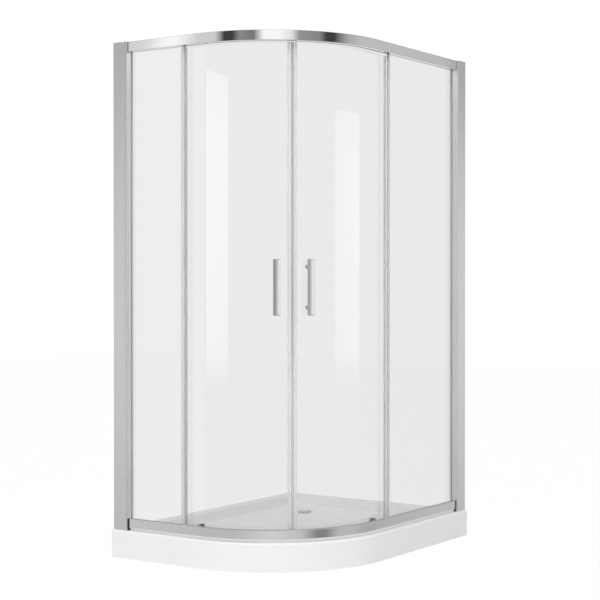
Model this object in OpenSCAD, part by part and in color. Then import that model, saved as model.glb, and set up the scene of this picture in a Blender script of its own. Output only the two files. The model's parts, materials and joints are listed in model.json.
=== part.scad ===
// Corner shower cabin: low tray with one rounded corner, two fixed panes and two curved sliding doors.
// X runs along the short side, Y along the long side, Z up from the floor.
// The room corner is at low X and high Y, and the rounded corner is at high X and low Y.

/* [Tray] */
// Length of the tray along its short side
tray_w = 900; // [860:10:1000]
// Length of the tray along its long side
tray_l = 1200; // [1100:10:1400]
// Radius of the rounded corner of the tray
tray_r = 500; // [480:10:550]
// Height of the rim above the floor
tray_h = 106; // [100:1:130]
// Width of the flat rim along the two walls
rim_wall_w = 52; // [40:1:70]
// Width of the flat rim under the glass
rim_front_w = 84; // [80:1:110]
// Depth of the basin below the rim
basin_depth = 40; // [30:1:44]
// Horizontal run of the sloping basin wall
basin_slope = 24; // [16:1:36]
// Radius of the basin corners beside the walls
basin_corner_r = 45; // [30:1:70]
// Thickness of the tray shell
shell_t = 5; // [4:0.5:6]
// Rounding of the outer edge of the rim
rim_edge_r = 6; // [3:0.5:8]
// Height of the tray's lip along the two walls
lip_h = 40; // [30:1:50]
// Distance from the two walls to the middle of the drain
drain_inset = 220; // [180:5:260]

/* [Waste trap] */
// Radius of the drain hole in the basin
drain_hole_r = 30; // [27:0.5:34]
// Radius of the lift-off drain cover
cover_r = 40; // [38:0.5:48]
// Thickness of the drain cover
cover_t = 3; // [2:0.5:5]
// Radius of the waste flange
flange_r = 37; // [36:0.5:40]
// Thickness of the waste flange and the gasket
flange_t = 2; // [1.5:0.5:3]
// Outer radius of the trap body
trap_r = 50; // [46:1:58]
// Wall of the trap body
trap_wall = 3; // [2:0.5:4]
// Height of the trap's underside above the floor
trap_floor = 5; // [3:1:8]
// Outer radius of the outlet spigot
outlet_r = 20; // [16:0.5:22]
// Length of the outlet spigot beyond the trap body
outlet_len = 60; // [45:1:80]

/* [Enclosure] */
// Height of the enclosure above the rim
cabin_h = 1862; // [1700:1:2000]
// Distance from the tray's edge to the outer face of the rails
rail_inset = 16; // [12:1:20]
// Gap between the tray's wall edges and the wall profiles
wall_gap = 4; // [0:1:8]
// Thickness of all panes
glass_t = 6; // [5:0.5:8]
// Thickness of the rubber between glass and metal
gasket_t = 1; // [0.5:0.25:1.5]

/* [Rails] */
// Height of the top rail
top_rail_h = 38; // [36:1:44]
// Height of the bottom rail's outer face above the rim
bottom_rail_h = 44; // [42:1:52]
// Wall of the rails and posts
metal_t = 2; // [1.5:0.25:2.5]
// Depth of the closed chamber at the front of a rail
chamber_d = 17; // [16:0.5:19]
// Wall of the glass slots
slot_wall = 1.5; // [1.2:0.1:2]
// Depth of the glass slot in a rail
slot_d = 9; // [8:0.5:10]
// Height of the track that the lower wheels run on
track_h = 24; // [22:1:26]
// Depth of the bottom rail from its outer face
track_d = 60; // [58:1:64]
// Height of the bottom rail's slanting toe
toe_h = 12; // [8:1:14]
// Set-back of the toe at the rim
toe_in = 3; // [2:0.5:4]
// Length of the plastic connectors inside the rails
plug_len = 30; // [24:1:40]
// Visible thickness of the bottom connectors' black flange
plug_flange = 6; // [4:1:8]

/* [Posts] */
// Width of a post and its wall profile on the outer face
post_w = 66; // [62:1:74]
// Width of the wall profile
wall_profile_w = 36; // [34:1:40]
// How far a post stands proud of the rails
post_proud = 10; // [8:1:12]
// Depth of a post
post_d = 44; // [42:1:50]
// Wall of the wall profile
wall_profile_t = 1.8; // [1.5:0.1:2]
// Running gap between a post and its wall profile
post_fit = 0.3; // [0.2:0.1:0.5]
// Radius of the wall screw holes
wall_hole_r = 3; // [2.5:0.25:3.5]
// Spacing of the outer pair of wall screw holes
wall_hole_span = 1650; // [1500:10:1650]
// Spacing of the inner pair of wall screw holes
wall_hole_inner = 550; // [400:10:700]
// Thickness of the cap on a post
cap_t = 2; // [1.5:0.5:3]

/* [Doors] */
// Distance from the start of the bend to the left pane's free edge
joint_left = 69; // [60:1:80]
// Distance from the start of the bend to the right pane's free edge
joint_right = 115; // [90:1:130]
// Overlap of a door behind its fixed pane
overlap = 17; // [14:1:22]
// Distance from the rails' outer face to the doors' outer face
door_u = 40; // [39.5:0.5:42]
// Gap from each door's glass to the line where the doors meet
seam_gap = 8; // [7:0.5:10]
// Gap between the glass and the track below it
door_lift = 3; // [2.5:0.5:5]
// Gap between the top of the door glass and the top of the rail
door_top_gap = 5; // [4:0.5:8]
// Gap that the door stop on the short side keeps from the connector at the rail's end
stop_gap = 28; // [20:1:60]
// Distance from the start of the bend back to the left rear wheels
rear_wheel_left = 7; // [5:1:12]
// Distance from the start of the bend back to the right rear wheels
rear_wheel_right = 32; // [25:1:40]
// Distance along the bend from the meeting line to the handles and front wheels
handle_inset = 59; // [50:1:70]

/* [Wheels] */
// Radius of the upper wheels
top_wheel_r = 10; // [9:0.5:10.5]
// Radius of the lower wheels
low_wheel_r = 12; // [11:0.5:13]
// Width of a wheel
wheel_w = 6; // [5:0.5:7]
// Radius of the wheel axles
axle_r = 3; // [2.5:0.25:3.5]
// Radial running clearance of a wheel on its axle
axle_fit = 0.05; // [0.02:0.01:0.1]
// Distance from the rails' outer face to the middle of the upper wheels
top_wheel_u = 9; // [8.5:0.5:9.5]
// Distance from the rails' outer face to the middle of the lower wheels
low_wheel_u = 33; // [33:0.5:33.5]
// Radius of the flange that clamps the glass
hub_r = 9; // [8:0.5:9]
// Radius of the inner clamping caps
hub_cap_r = 12; // [10:0.5:12]

/* [Handles] */
// Length of a handle
handle_len = 206; // [180:2:240]
// Width of a handle
handle_w = 28; // [24:1:32]
// Thickness of a handle
handle_t = 12; // [10:1:14]
// Radius of the crown on a handle's front
handle_crown_r = 20; // [18:1:40]
// Rounding of a handle's long edges
handle_edge_r = 3; // [2:0.5:4]
// Distance from the glass to the middle of a handle
handle_off = 40; // [34:1:44]
// Height of the middle of the handles above the floor
handle_z = 1034; // [950:1:1150]
// Distance between a handle's two posts
handle_pitch = 150; // [128:1:160]
// Radius of the handle's two posts
handle_post_r = 6; // [5:0.5:7]

/* [Seals] */
// Length of the legs that grip the glass
seal_leg = 10; // [8:1:12]
// Thickness of the seal legs
seal_t = 1.2; // [1:0.1:1.4]
// Reach of the fin that closes the gap to the fixed pane
fin_gap = 0.6; // [0.5:0.1:1]

/* [Hidden] */

left = 0;
right = 1;
$fn = 64;
bend_fn = 180;
cut = 1;
gap = 0.3;

// Plan of the tray and the rails
half_w = tray_w / 2;
half_l = tray_l / 2;
arc_x = half_w - tray_r;
arc_y = tray_r - half_l;
rail_r = tray_r - rail_inset;
runs = [tray_w - tray_r - wall_gap, tray_l - tray_r - wall_gap];
joints = [joint_left, joint_right];
rear_wheels = [rear_wheel_left, rear_wheel_right];
tails = [joint_left + overlap, joint_right + overlap];

// Section of the rails, as depths from their outer face
slot_w = glass_t + 2 * gasket_t;
glass_u = chamber_d + gasket_t;
rail_d = chamber_d + slot_w + slot_wall;
floor_low = slot_d;
floor_high = slot_d + metal_t;
slot_bottom = bottom_rail_h - slot_d - metal_t - 1;

// Heights above the floor
top_z = tray_h + cabin_h;
top_rail_z = top_z - top_rail_h;
track_z = tray_h + track_h;
door_low_z = track_z + door_lift;
door_high_z = top_z - door_top_gap;
top_axle_z = top_rail_z + floor_high + top_wheel_r + gap;
low_axle_z = track_z + low_wheel_r + gap;
basin_z = tray_h - basin_depth;

// Doors, as angles from the start of the bend
function along(length, radius) = length / radius * 180 / PI;
door_mid_r = rail_r - door_u - glass_t / 2;
glass_end = 45 - along(seam_gap, door_mid_r);
seam_end = 45 - along(gap, door_mid_r);
handle_a = 45 - along(handle_inset, rail_r - door_u);
seal_low = door_u - gap / 2 - seal_t;
seal_high = door_u + glass_t + gap / 2 + seal_t;

// Drain and trap
drain_x = drain_inset - half_w;
drain_y = half_l - drain_inset;
under_basin = basin_z - shell_t;
gasket_z = under_basin - flange_t;
trap_top = gasket_z - gap;
neck_r = drain_hole_r - gap;
neck_wall = 2;
collar_len = 6;
collar_rise = 3;
outlet_z = trap_floor + outlet_r + 4;
cover_z = basin_z + flange_t + 3;
tube_r = neck_r - neck_wall - 4;
tube_wall = 2;
tube_hub_h = 5;
stem_r = 5;
stem_low = basin_z - 10;

// Screws and holes
screw_fit = 0.1;
wall_hole_u = (post_d - 2 * post_proud) / 2;
wall_hole_mid = tray_h + cabin_h / 2;
screw_a = post_w - wall_profile_w + (2 * wall_profile_w - post_w) / 2;
post_screw_r = 2;
post_screw_z = [for (i = [-1:1]) tray_h + cabin_h / 2 + i * cabin_h * 0.4];
rail_screw_u = 9;
rail_screw_z = [tray_h + 12, tray_h + bottom_rail_h - 12, top_rail_z + (floor_high + top_rail_h - metal_t) / 2];
handle_screw_r = 2.5;
grommet_r = 5.5;
hub_core_r = 5;

// Door stops, which let both doors slide as far as the shorter run allows
top_flange = 2;
stop_len = 20;
stop_h = 20;
stop_play = 1;
stop_room = [for (s = [left, right])
    runs[s] - post_w - top_flange - plug_len - stop_gap - stop_len - stop_play - top_wheel_r - rear_wheels[s]];
door_travel = min(stop_room);

// Places of the fixed panes and the strips
glass_seat = post_w - wall_profile_w - 10 - 2 * metal_t - gasket_t;
magnet_from = glass_end + along(3.2, door_mid_r);
magnet_to = seam_end - along(1.2, door_mid_r);
wiper_start = 2.5;

steel = [0.72, 0.73, 0.74];
chrome = [0.85, 0.86, 0.88];
white = [0.95, 0.95, 0.94];
clear = [0.80, 0.88, 0.87, 0.35];
seal_grey = [0.75, 0.77, 0.78, 0.7];
black = [0.10, 0.10, 0.10];

// Puts its children in a side's own frame: the bend's centre at the origin, the straight run along -X
module side(s) {
    translate([arc_x, arc_y, 0])
        if (s == left) children();
        else mirror([1, 1, 0]) children();
}

// Puts its children on the straight run, x before the bend, with Y running inwards from the rail
module on_run(x) translate([x, -rail_r, 0]) children();

// The same at an angle round the bend
module on_bend(angle) rotate([0, 0, angle]) translate([0, -rail_r, 0]) children();

// Draws a section of depth and height along the straight run
module straight(from, to)
    translate([from, -rail_r, 0]) rotate([90, 0, 90]) linear_extrude(to - from) children();

// Draws the same section round the bend
module bend(from, to)
    rotate([0, 0, from - 90]) rotate_extrude(angle = to - from, $fn = bend_fn)
        translate([rail_r, 0]) mirror([1, 0]) children();

module box2(low, high) translate(low) square(high - low);

// A round bar along the depth, between two depths
module pin(r, from, to) translate([0, from, 0]) rotate([-90, 0, 0]) cylinder(r = r, h = to - from);

// The basin's hollow, or the same grown by a thickness: a flat floor with sloping walls and round corners
module basin(grow) {
    low = basin_z - grow;
    near = [rim_wall_w - half_w + basin_corner_r, rim_front_w - half_l + basin_corner_r];
    far = [half_w - rim_front_w - basin_corner_r, half_l - rim_wall_w - basin_corner_r];
    module wall(r) polygon([[0, low], [r - basin_slope, low], [r, tray_h], [r, tray_h + cut], [0, tray_h + cut]]);
    module corner(place, turn, r)
        translate(place) rotate([0, 0, turn]) rotate_extrude(angle = 90) wall(r);
    module run(place, turn, length)
        translate(place) rotate([0, 0, turn]) rotate([90, 0, 0]) linear_extrude(length) wall(basin_corner_r + grow);
    translate([0, 0, low]) linear_extrude(tray_h + cut - low) {
        box2(near, [arc_x + cut, far[1]]);
        box2([arc_x, arc_y - cut], far);
    }
    corner(near, 180, basin_corner_r + grow);
    corner([near[0], far[1]], 90, basin_corner_r + grow);
    corner(far, 0, basin_corner_r + grow);
    corner([arc_x, arc_y], -90, tray_r - rim_front_w + grow);
    run([arc_x, near[1]], -90, arc_x - near[0]);
    run(near, 180, far[1] - near[1]);
    run([near[0], far[1]], 90, far[0] - near[0]);
    run(far, 0, far[1] - arc_y);
}

// The outline of the tray, drawn in, as a flat shape with a true arc
module outline(front, wall) {
    r = tray_r - front;
    box2([wall - half_w, front - half_l], [arc_x, half_l - wall]);
    box2([arc_x - cut, arc_y], [half_w - front, half_l - wall]);
    intersection() {
        translate([arc_x, arc_y]) circle(r = r, $fn = bend_fn);
        translate([arc_x - cut, arc_y - r]) square(r + cut);
    }
}

// The space under the tray, inside its apron and open towards the walls
module hollow(clear_by) {
    linear_extrude(tray_h - shell_t - clear_by) outline(shell_t + clear_by, shell_t + clear_by);
    linear_extrude(tray_h - lip_h - clear_by) outline(shell_t + clear_by, 0);
}

// Cuts the rim's outer edge round along the front
module rim_edge() {
    module nose() difference() {
        box2([-cut, tray_h - rim_edge_r], [rim_edge_r, tray_h + cut]);
        translate([rim_edge_r, tray_h - rim_edge_r]) circle(r = rim_edge_r);
    }
    translate([-half_w - cut, -half_l, 0]) rotate([90, 0, 90]) linear_extrude(arc_x + half_w + cut) nose();
    translate([half_w, half_l + cut, 0]) mirror([1, 0, 0]) rotate([90, 0, 0])
        linear_extrude(half_l + cut - arc_y) nose();
    translate([arc_x, arc_y, 0]) rotate([0, 0, -90]) rotate_extrude(angle = 90, $fn = bend_fn)
        translate([tray_r, 0]) mirror([1, 0]) nose();
}

module tray() color(white) difference() {
    linear_extrude(tray_h) outline(0, 0);
    rim_edge();
    basin(0);
    difference() {
        translate([0, 0, -cut]) union() {
            linear_extrude(tray_h - shell_t + cut) outline(shell_t, shell_t);
            linear_extrude(tray_h - lip_h + cut) outline(shell_t, -cut);
        }
        basin(shell_t);
    }
    translate([drain_x, drain_y, under_basin - cut]) cylinder(r = drain_hole_r, h = shell_t + 2 * cut);
}

module tray_carrier() color([0.93, 0.93, 0.95]) difference() {
    hollow(gap);
    basin(shell_t + gap);
    translate([drain_x, drain_y, -cut]) cylinder(r = trap_r + 10, h = tray_h);
    translate([drain_x - outlet_r - 12, drain_y, -cut]) cube([2 * outlet_r + 24, half_l, outlet_z + outlet_r + 12]);
}

module trap_body() color([0.93, 0.93, 0.93]) translate([drain_x, drain_y, 0]) difference() {
    union() {
        translate([0, 0, trap_floor]) cylinder(r = trap_r, h = trap_top - trap_floor);
        translate([0, 0, outlet_z]) rotate([-90, 0, 0]) cylinder(r = outlet_r, h = trap_r + outlet_len);
        translate([0, 0, outlet_z]) rotate([-90, 0, 0])
            cylinder(r = outlet_r + collar_rise, h = trap_r + collar_len);
    }
    translate([0, 0, trap_floor + trap_wall])
        cylinder(r = trap_r - trap_wall, h = trap_top - trap_floor - 2 * trap_wall);
    translate([0, 0, trap_floor + trap_wall]) cylinder(r = neck_r + gap, h = trap_top);
    translate([0, 0, outlet_z]) rotate([-90, 0, 0])
        cylinder(r = outlet_r - trap_wall, h = trap_r + outlet_len + cut);
    for (turn = [0, 180]) rotate([0, 0, turn]) translate([trap_r - 8, 0, trap_top - trap_wall - cut])
        cylinder(r = 1.7, h = trap_wall + 2 * cut);
}

module trap_gasket() color(black) translate([drain_x, drain_y, gasket_z]) difference() {
    cylinder(r = flange_r, h = flange_t);
    translate([0, 0, -cut]) cylinder(r = neck_r + gap, h = flange_t + 2 * cut);
}

module trap_flange() color(chrome) translate([drain_x, drain_y, 0]) difference() {
    union() {
        translate([0, 0, basin_z]) cylinder(r = flange_r, h = flange_t);
        translate([0, 0, trap_top - 12]) cylinder(r = neck_r, h = basin_z - trap_top + 12);
    }
    translate([0, 0, trap_top - 12 - cut]) cylinder(r = neck_r - neck_wall, h = tray_h);
    for (turn = [0, 180]) rotate([0, 0, turn]) translate([neck_r + 3.5, 0, basin_z - cut])
        cylinder(r = 1.3, h = flange_t + 2 * cut);
}

module flange_screws() color(steel) translate([drain_x, drain_y, 0])
    for (turn = [0, 180]) rotate([0, 0, turn]) translate([neck_r + 3.5, 0, basin_z]) {
        translate([0, 0, 0.1]) cylinder(r = 1.25, h = flange_t);
        translate([0, 0, flange_t]) cylinder(r = 2.2, h = 1);
    }

module drain_cover() color(chrome) translate([drain_x, drain_y, 0]) {
    translate([0, 0, cover_z]) rotate_extrude()
        polygon([[0, 0], [cover_r - 1, 0], [cover_r, 0.8], [cover_r, cover_t - 1.2],
                 [cover_r - 1.5, cover_t - 0.2], [cover_r * 0.7, cover_t + 0.6], [0, cover_t + 1]]);
    for (turn = [0:120:240]) rotate([0, 0, turn + 30]) translate([flange_r - 4, 0, basin_z + flange_t + gap])
        cylinder(r = 2, h = cover_z + 1 - basin_z - flange_t - gap);
    translate([0, 0, stem_low]) cylinder(r = stem_r, h = cover_z + 1 - stem_low);
}

module dip_tube() color([0.9, 0.9, 0.9]) translate([drain_x, drain_y, 0]) {
    translate([0, 0, trap_floor + 14]) difference() {
        cylinder(r = tube_r, h = basin_z - trap_floor - 18);
        translate([0, 0, -cut]) cylinder(r = tube_r - tube_wall, h = tray_h);
    }
    difference() {
        union() {
            translate([0, 0, stem_low]) cylinder(r = stem_r + 3, h = tube_hub_h);
            for (turn = [0:120:240]) rotate([0, 0, turn + 30]) translate([stem_r + 1, -1.5, stem_low])
                cube([tube_r - tube_wall - stem_r - 0.5, 3, tube_hub_h]);
        }
        translate([0, 0, stem_low - cut]) cylinder(r = stem_r + axle_fit, h = tube_hub_h + 2 * cut);
    }
}

// Plan section of the U-shaped profile that is screwed to the wall
module wall_section() difference() {
    box2([0, wall_profile_t + post_fit - post_proud + metal_t - wall_profile_t],
         [wall_profile_w, post_d - post_proud - metal_t - post_fit]);
    box2([wall_profile_t, post_fit - post_proud + metal_t + wall_profile_t],
         [wall_profile_w + cut, post_d - post_proud - metal_t - post_fit - wall_profile_t]);
}

module wall_profile(s) color(steel) side(s) difference() {
    translate([-runs[s], -rail_r, tray_h]) linear_extrude(cabin_h - cap_t) wall_section();
    for (span = [wall_hole_span, wall_hole_inner], way = [-1, 1])
        translate([-runs[s] - cut, wall_hole_u - rail_r, wall_hole_mid + way * span / 2])
            rotate([0, 90, 0]) cylinder(r = wall_hole_r, h = wall_profile_t + 2 * cut);
    for (z = post_screw_z) on_run(screw_a - runs[s]) translate([0, 0, z])
        pin(post_screw_r + 0.1, post_d - post_proud - 2 * metal_t - cut, post_d);
}

// Plan section of a post: a flange over the wall profile, a closed chamber and a slot for the glass
module post_section() {
    web = wall_profile_w + 10;
    back = post_d - post_proud;
    difference() {
        box2([post_w - wall_profile_w, -post_proud], [post_w, back]);
        box2([post_w - wall_profile_w - cut, metal_t - post_proud], [web, back - metal_t]);
        box2([web + metal_t, metal_t - post_proud], [post_w - metal_t, chamber_d - slot_wall]);
        box2([web + metal_t + metal_t, chamber_d], [post_w + cut, chamber_d + slot_w]);
        box2([web + metal_t, rail_d], [post_w - metal_t, back - metal_t]);
    }
}

module post(s) color(steel) side(s) difference() {
    translate([-runs[s], -rail_r, tray_h]) linear_extrude(cabin_h - cap_t) post_section();
    for (z = post_screw_z) on_run(screw_a - runs[s]) translate([0, 0, z])
        pin(post_screw_r + 0.1, post_d - post_proud - metal_t - cut, post_d);
    for (z = rail_screw_z) translate([post_w - metal_t - runs[s] - cut, rail_screw_u - rail_r, z])
        rotate([0, 90, 0]) cylinder(r = post_screw_r + screw_fit, h = metal_t + 2 * cut);
}

module post_screws() color(steel)
    for (s = [left, right], z = post_screw_z) side(s) on_run(screw_a - runs[s]) translate([0, 0, z]) {
        back = post_d - post_proud;
        pin(post_screw_r, back - metal_t - post_fit - wall_profile_t - 2, back + 1);
        pin(3.5, back, back + 2.2);
    }

module post_caps() color(black)
    for (s = [left, right]) side(s) translate([-runs[s], -rail_r - post_proud, top_z - cap_t])
        cube([post_w, post_d, cap_t]);

module top_section() difference() {
    square([rail_d, top_rail_h]);
    box2([metal_t, floor_high], [rail_d + cut, top_rail_h - metal_t]);
    box2([chamber_d, -cut], [chamber_d + slot_w, slot_d]);
    box2([metal_t, metal_t], [chamber_d - slot_wall, slot_d]);
}

module bottom_section() difference() {
    polygon([[0, toe_h], [toe_in, toe_h / 3], [toe_in, 0], [track_d, 0], [track_d, track_h], [rail_d, track_h],
             [rail_d, slot_bottom + 4], [rail_d - slot_wall, slot_bottom + 4], [rail_d - slot_wall, slot_bottom],
             [chamber_d, slot_bottom], [chamber_d, bottom_rail_h], [0, bottom_rail_h]]);
    polygon([[metal_t, toe_h + 0.5], [metal_t + toe_in, toe_h / 3 + 0.5], [metal_t + toe_in, metal_t],
             [chamber_d - slot_wall, metal_t], [chamber_d - slot_wall, bottom_rail_h - metal_t],
             [metal_t, bottom_rail_h - metal_t]]);
    polygon([[chamber_d, metal_t], [track_d - metal_t, metal_t], [track_d - metal_t, track_h - metal_t],
             [rail_d - slot_wall, track_h - metal_t], [rail_d - slot_wall, slot_bottom - metal_t],
             [chamber_d, slot_bottom - metal_t]]);
}

// A rail: straight, round the bend and straight again, ending a little before each post
module rail(short_by) {
    for (s = [left, right]) side(s) straight(post_w + short_by - runs[s], 0) children();
    side(left) bend(0, 90) children();
}

module top_rail() color(chrome) rail(top_flange) translate([0, top_rail_z]) top_section();

module bottom_rail() color(chrome) rail(plug_flange) translate([0, tray_h]) bottom_section();

// A connector: a flange of the rail's own outline and a plug in its chamber, drilled for screws
module connector(s, flange, z_list) side(s) difference() {
    union() {
        straight(post_w - runs[s], post_w + flange - runs[s]) children(0);
        straight(post_w + flange - runs[s] - gap, post_w + flange + plug_len - runs[s]) children(1);
    }
    for (z = z_list) translate([post_w - runs[s] - cut, rail_screw_u - rail_r, z])
        rotate([0, 90, 0]) cylinder(r = post_screw_r + 0.1, h = flange + plug_len);
}

module top_connectors() color(black) for (s = [left, right]) connector(s, top_flange, [rail_screw_z[2]]) {
    translate([0, top_rail_z]) difference() {
        square([rail_d, top_rail_h]);
        box2([chamber_d, -cut], [chamber_d + slot_w, slot_d]);
    }
    box2([metal_t + gap, top_rail_z + floor_high + gap], [chamber_d + 2, top_z - metal_t - gap]);
}

module bottom_connectors() color(black)
    for (s = [left, right]) connector(s, plug_flange, [rail_screw_z[0], rail_screw_z[1]]) {
        translate([0, tray_h]) box2([0, 0], [chamber_d, bottom_rail_h]);
        box2([metal_t + toe_in + gap, tray_h + metal_t + gap],
             [chamber_d - slot_wall - gap, tray_h + bottom_rail_h - metal_t - gap]);
    }

module rail_screws() color(steel)
    for (s = [left, right], z = rail_screw_z) side(s)
        translate([post_w - metal_t - runs[s], rail_screw_u - rail_r, z]) rotate([0, 90, 0]) {
            cylinder(r = post_screw_r, h = 24);
            translate([0, 0, -3]) cylinder(r = 4, h = 3);
        }

module door_stops() color(black)
    for (s = [left, right]) side(s) {
        face = -rear_wheels[s] - door_travel - top_wheel_r - stop_play;
        straight(face - stop_len, face)
            box2([metal_t, top_rail_z + floor_high], [rail_d - slot_wall, top_rail_z + floor_high + stop_h]);
    }

module fixed_glass(s) color(clear) side(s)
    straight(post_w - runs[s] - glass_seat, -joints[s])
        box2([glass_u, tray_h + slot_bottom + gasket_t], [glass_u + glass_t, top_rail_z + slot_d - gasket_t]);

// Rubber round the fixed pane's three framed edges
module glazing_gasket(s) color(black) side(s) difference() {
    union() {
        straight(post_w - runs[s] - glass_seat - gasket_t, post_w - runs[s])
            box2([chamber_d, tray_h + slot_bottom], [chamber_d + slot_w, top_rail_z + slot_d]);
        for (z = [[slot_bottom + tray_h, tray_h + slot_bottom + slot_d],
                  [top_rail_z, top_rail_z + slot_d]])
            straight(post_w - runs[s] - cut, -joints[s]) box2([chamber_d, z[0]], [chamber_d + slot_w, z[1]]);
    }
    straight(post_w - runs[s] - glass_seat, cut)
        box2([glass_u, tray_h + slot_bottom + gasket_t], [glass_u + glass_t, top_rail_z + slot_d - gasket_t]);
}

// Clear strip gripping the fixed pane's free edge
module fixed_seal(s) color(seal_grey) side(s) difference() {
    straight(-joints[s] - seal_leg, -joints[s] + seal_t)
        box2([glass_u - gap / 2 - seal_t, tray_h + bottom_rail_h + gap],
             [glass_u + glass_t + gap / 2 + seal_t, top_rail_z - gap]);
    straight(-joints[s] - seal_leg - cut, -joints[s] + gap / 3)
        box2([glass_u - gap / 2, tray_h], [glass_u + glass_t + gap / 2, top_rail_z]);
}

module door_section() box2([door_u, door_low_z], [door_u + glass_t, door_high_z]);

// Places that carry a wheel: rear on the straight run, front on the bend
module at_rear(s) on_run(-rear_wheels[s]) children();
module at_front() on_bend(handle_a) children();

module door_glass(s) color(clear) side(s) difference() {
    union() {
        straight(-tails[s], 0) door_section();
        bend(0, glass_end) door_section();
    }
    at_rear(s) translate([0, 0, top_axle_z]) pin(hub_core_r + gap, door_u - cut, door_u + glass_t + cut);
    at_front() translate([0, 0, top_axle_z]) pin(hub_core_r + gap, door_u - cut, door_u + glass_t + cut);
    at_rear(s) translate([0, 0, low_axle_z]) pin(hub_core_r + gap, door_u - cut, door_u + glass_t + cut);
    for (way = [-1, 1]) at_front() translate([0, 0, handle_z + way * handle_pitch / 2])
        pin(grommet_r + gap, door_u - cut, door_u + glass_t + cut);
}

// Strip on a door's leading edge, with a chamber for its magnet
module magnet_seal(s) color(seal_grey) side(s) difference() {
    bend(glass_end - along(seal_leg, door_mid_r), seam_end)
        box2([seal_low, door_low_z + gap], [seal_high, top_rail_z - gap]);
    bend(glass_end - along(seal_leg + cut, door_mid_r), glass_end + along(gap / 3, door_mid_r))
        box2([door_u - gap / 2, tray_h], [door_u + glass_t + gap / 2, top_z]);
    bend(magnet_from - along(0.2, door_mid_r), magnet_to + along(0.2, door_mid_r))
        box2([door_u + 0.8, tray_h], [door_u + glass_t - 0.8, top_z]);
}

module magnet_strip(s) color([0.25, 0.25, 0.26]) side(s)
    bend(magnet_from, magnet_to)
        box2([door_u + 1, door_low_z + 2 * gap], [door_u + glass_t - 1, top_rail_z - 2 * gap]);

// Strip on a door's rear edge, with a fin that reaches towards the fixed pane
module trailing_seal(s) color(seal_grey) side(s) {
    low = tray_h + slot_bottom + 6;
    fin_low = tray_h + slot_bottom + slot_d + 1;
    high = top_rail_z - 2;
    difference() {
        straight(-tails[s] - seal_t, -tails[s] + seal_leg) box2([seal_low, low], [seal_high, high]);
        straight(-tails[s] - gap / 3, -tails[s] + seal_leg + cut)
            box2([door_u - gap / 2, tray_h], [door_u + glass_t + gap / 2, top_z]);
    }
    straight(-tails[s] - seal_t, -tails[s])
        box2([glass_u + glass_t + fin_gap, fin_low], [seal_low + seal_t / 2, high]);
}

// Strip under a door that wipes the track
module wiper(s) color(seal_grey) side(s) difference() {
    bend(wiper_start, glass_end - along(seal_leg + 1, door_mid_r))
        box2([seal_low, track_z + gap], [seal_high, door_low_z + 8]);
    bend(wiper_start - 1, glass_end)
        box2([door_u - gap / 2, door_low_z - gap], [door_u + glass_t + gap / 2, top_z]);
}

module bumper(s) color(black) side(s) on_run(5 - tails[s]) translate([0, 0, door_low_z + 6])
    pin(4, door_u - 6, door_u - gap);

// Plan section of a handle: a flat bar with round edges and a crowned front
module handle_section() {
    r = handle_edge_r;
    reach = [handle_w / 2 - r, handle_t / 2 - r];
    intersection() {
        union() {
            square([handle_w, 2 * reach[1]], center = true);
            square([2 * reach[0], handle_t], center = true);
            for (x = [-1, 1], y = [-1, 1]) translate([x * reach[0], y * reach[1]]) circle(r = r);
        }
        translate([0, handle_crown_r - handle_t / 2]) circle(r = handle_crown_r, $fn = bend_fn);
    }
}

module handle(s) color(chrome) side(s) at_front() translate([0, 0, handle_z]) difference() {
    union() {
        translate([0, door_u - handle_off, -handle_len / 2]) linear_extrude(handle_len) handle_section();
        for (way = [-1, 1]) translate([0, 0, way * handle_pitch / 2])
            pin(handle_post_r, door_u - handle_off + handle_t * 0.3, door_u - 1.8);
    }
    for (way = [-1, 1]) translate([0, 0, way * handle_pitch / 2])
        pin(handle_screw_r + screw_fit, door_u - 14, door_u);
}

module handle_screws(s) color(steel) side(s) at_front()
    for (way = [-1, 1]) translate([0, 0, handle_z + way * handle_pitch / 2]) {
        pin(handle_screw_r, door_u - 12, door_u + glass_t + 2);
        pin(7, door_u + glass_t + 2, door_u + glass_t + 5);
    }

module handle_grommets(s) color(black) side(s) at_front()
    for (way = [-1, 1]) translate([0, 0, handle_z + way * handle_pitch / 2]) difference() {
        union() {
            pin(8, door_u - 1.8, door_u - gap);
            pin(grommet_r, door_u - 1, door_u + glass_t + 1);
            pin(8, door_u + glass_t + gap, door_u + glass_t + 2);
        }
        pin(handle_screw_r + 0.1, door_u - 3, door_u + glass_t + 3);
    }

// Hub that clamps the glass and carries a wheel on its axle
module hub(wheel_u) difference() {
    union() {
        pin(axle_r, wheel_u - wheel_w / 2 - 0.3, door_u);
        pin(axle_r + 1.5, wheel_u + wheel_w / 2 + 0.3, door_u - 1);
        pin(hub_r, door_u - 2.6, door_u - gap);
        pin(hub_core_r, door_u - 1, door_u + glass_t - gap);
        pin(4, door_u, door_u + glass_t + 6);
    }
}

module top_hubs(s) color(steel) side(s) translate([0, 0, top_axle_z]) {
    at_rear(s) hub(top_wheel_u);
    at_front() hub(top_wheel_u);
}

module low_hub(s) color(steel) side(s) translate([0, 0, low_axle_z]) at_rear(s) hub(low_wheel_u);

module hub_cap() difference() {
    pin(hub_cap_r, door_u + glass_t + gap, door_u + glass_t + 8);
    pin(4.05, door_u, door_u + glass_t + 6.2);
}

module hub_caps(s) color(chrome) side(s) {
    at_rear(s) translate([0, 0, top_axle_z]) hub_cap();
    at_front() translate([0, 0, top_axle_z]) hub_cap();
    at_rear(s) translate([0, 0, low_axle_z]) hub_cap();
}

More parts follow.
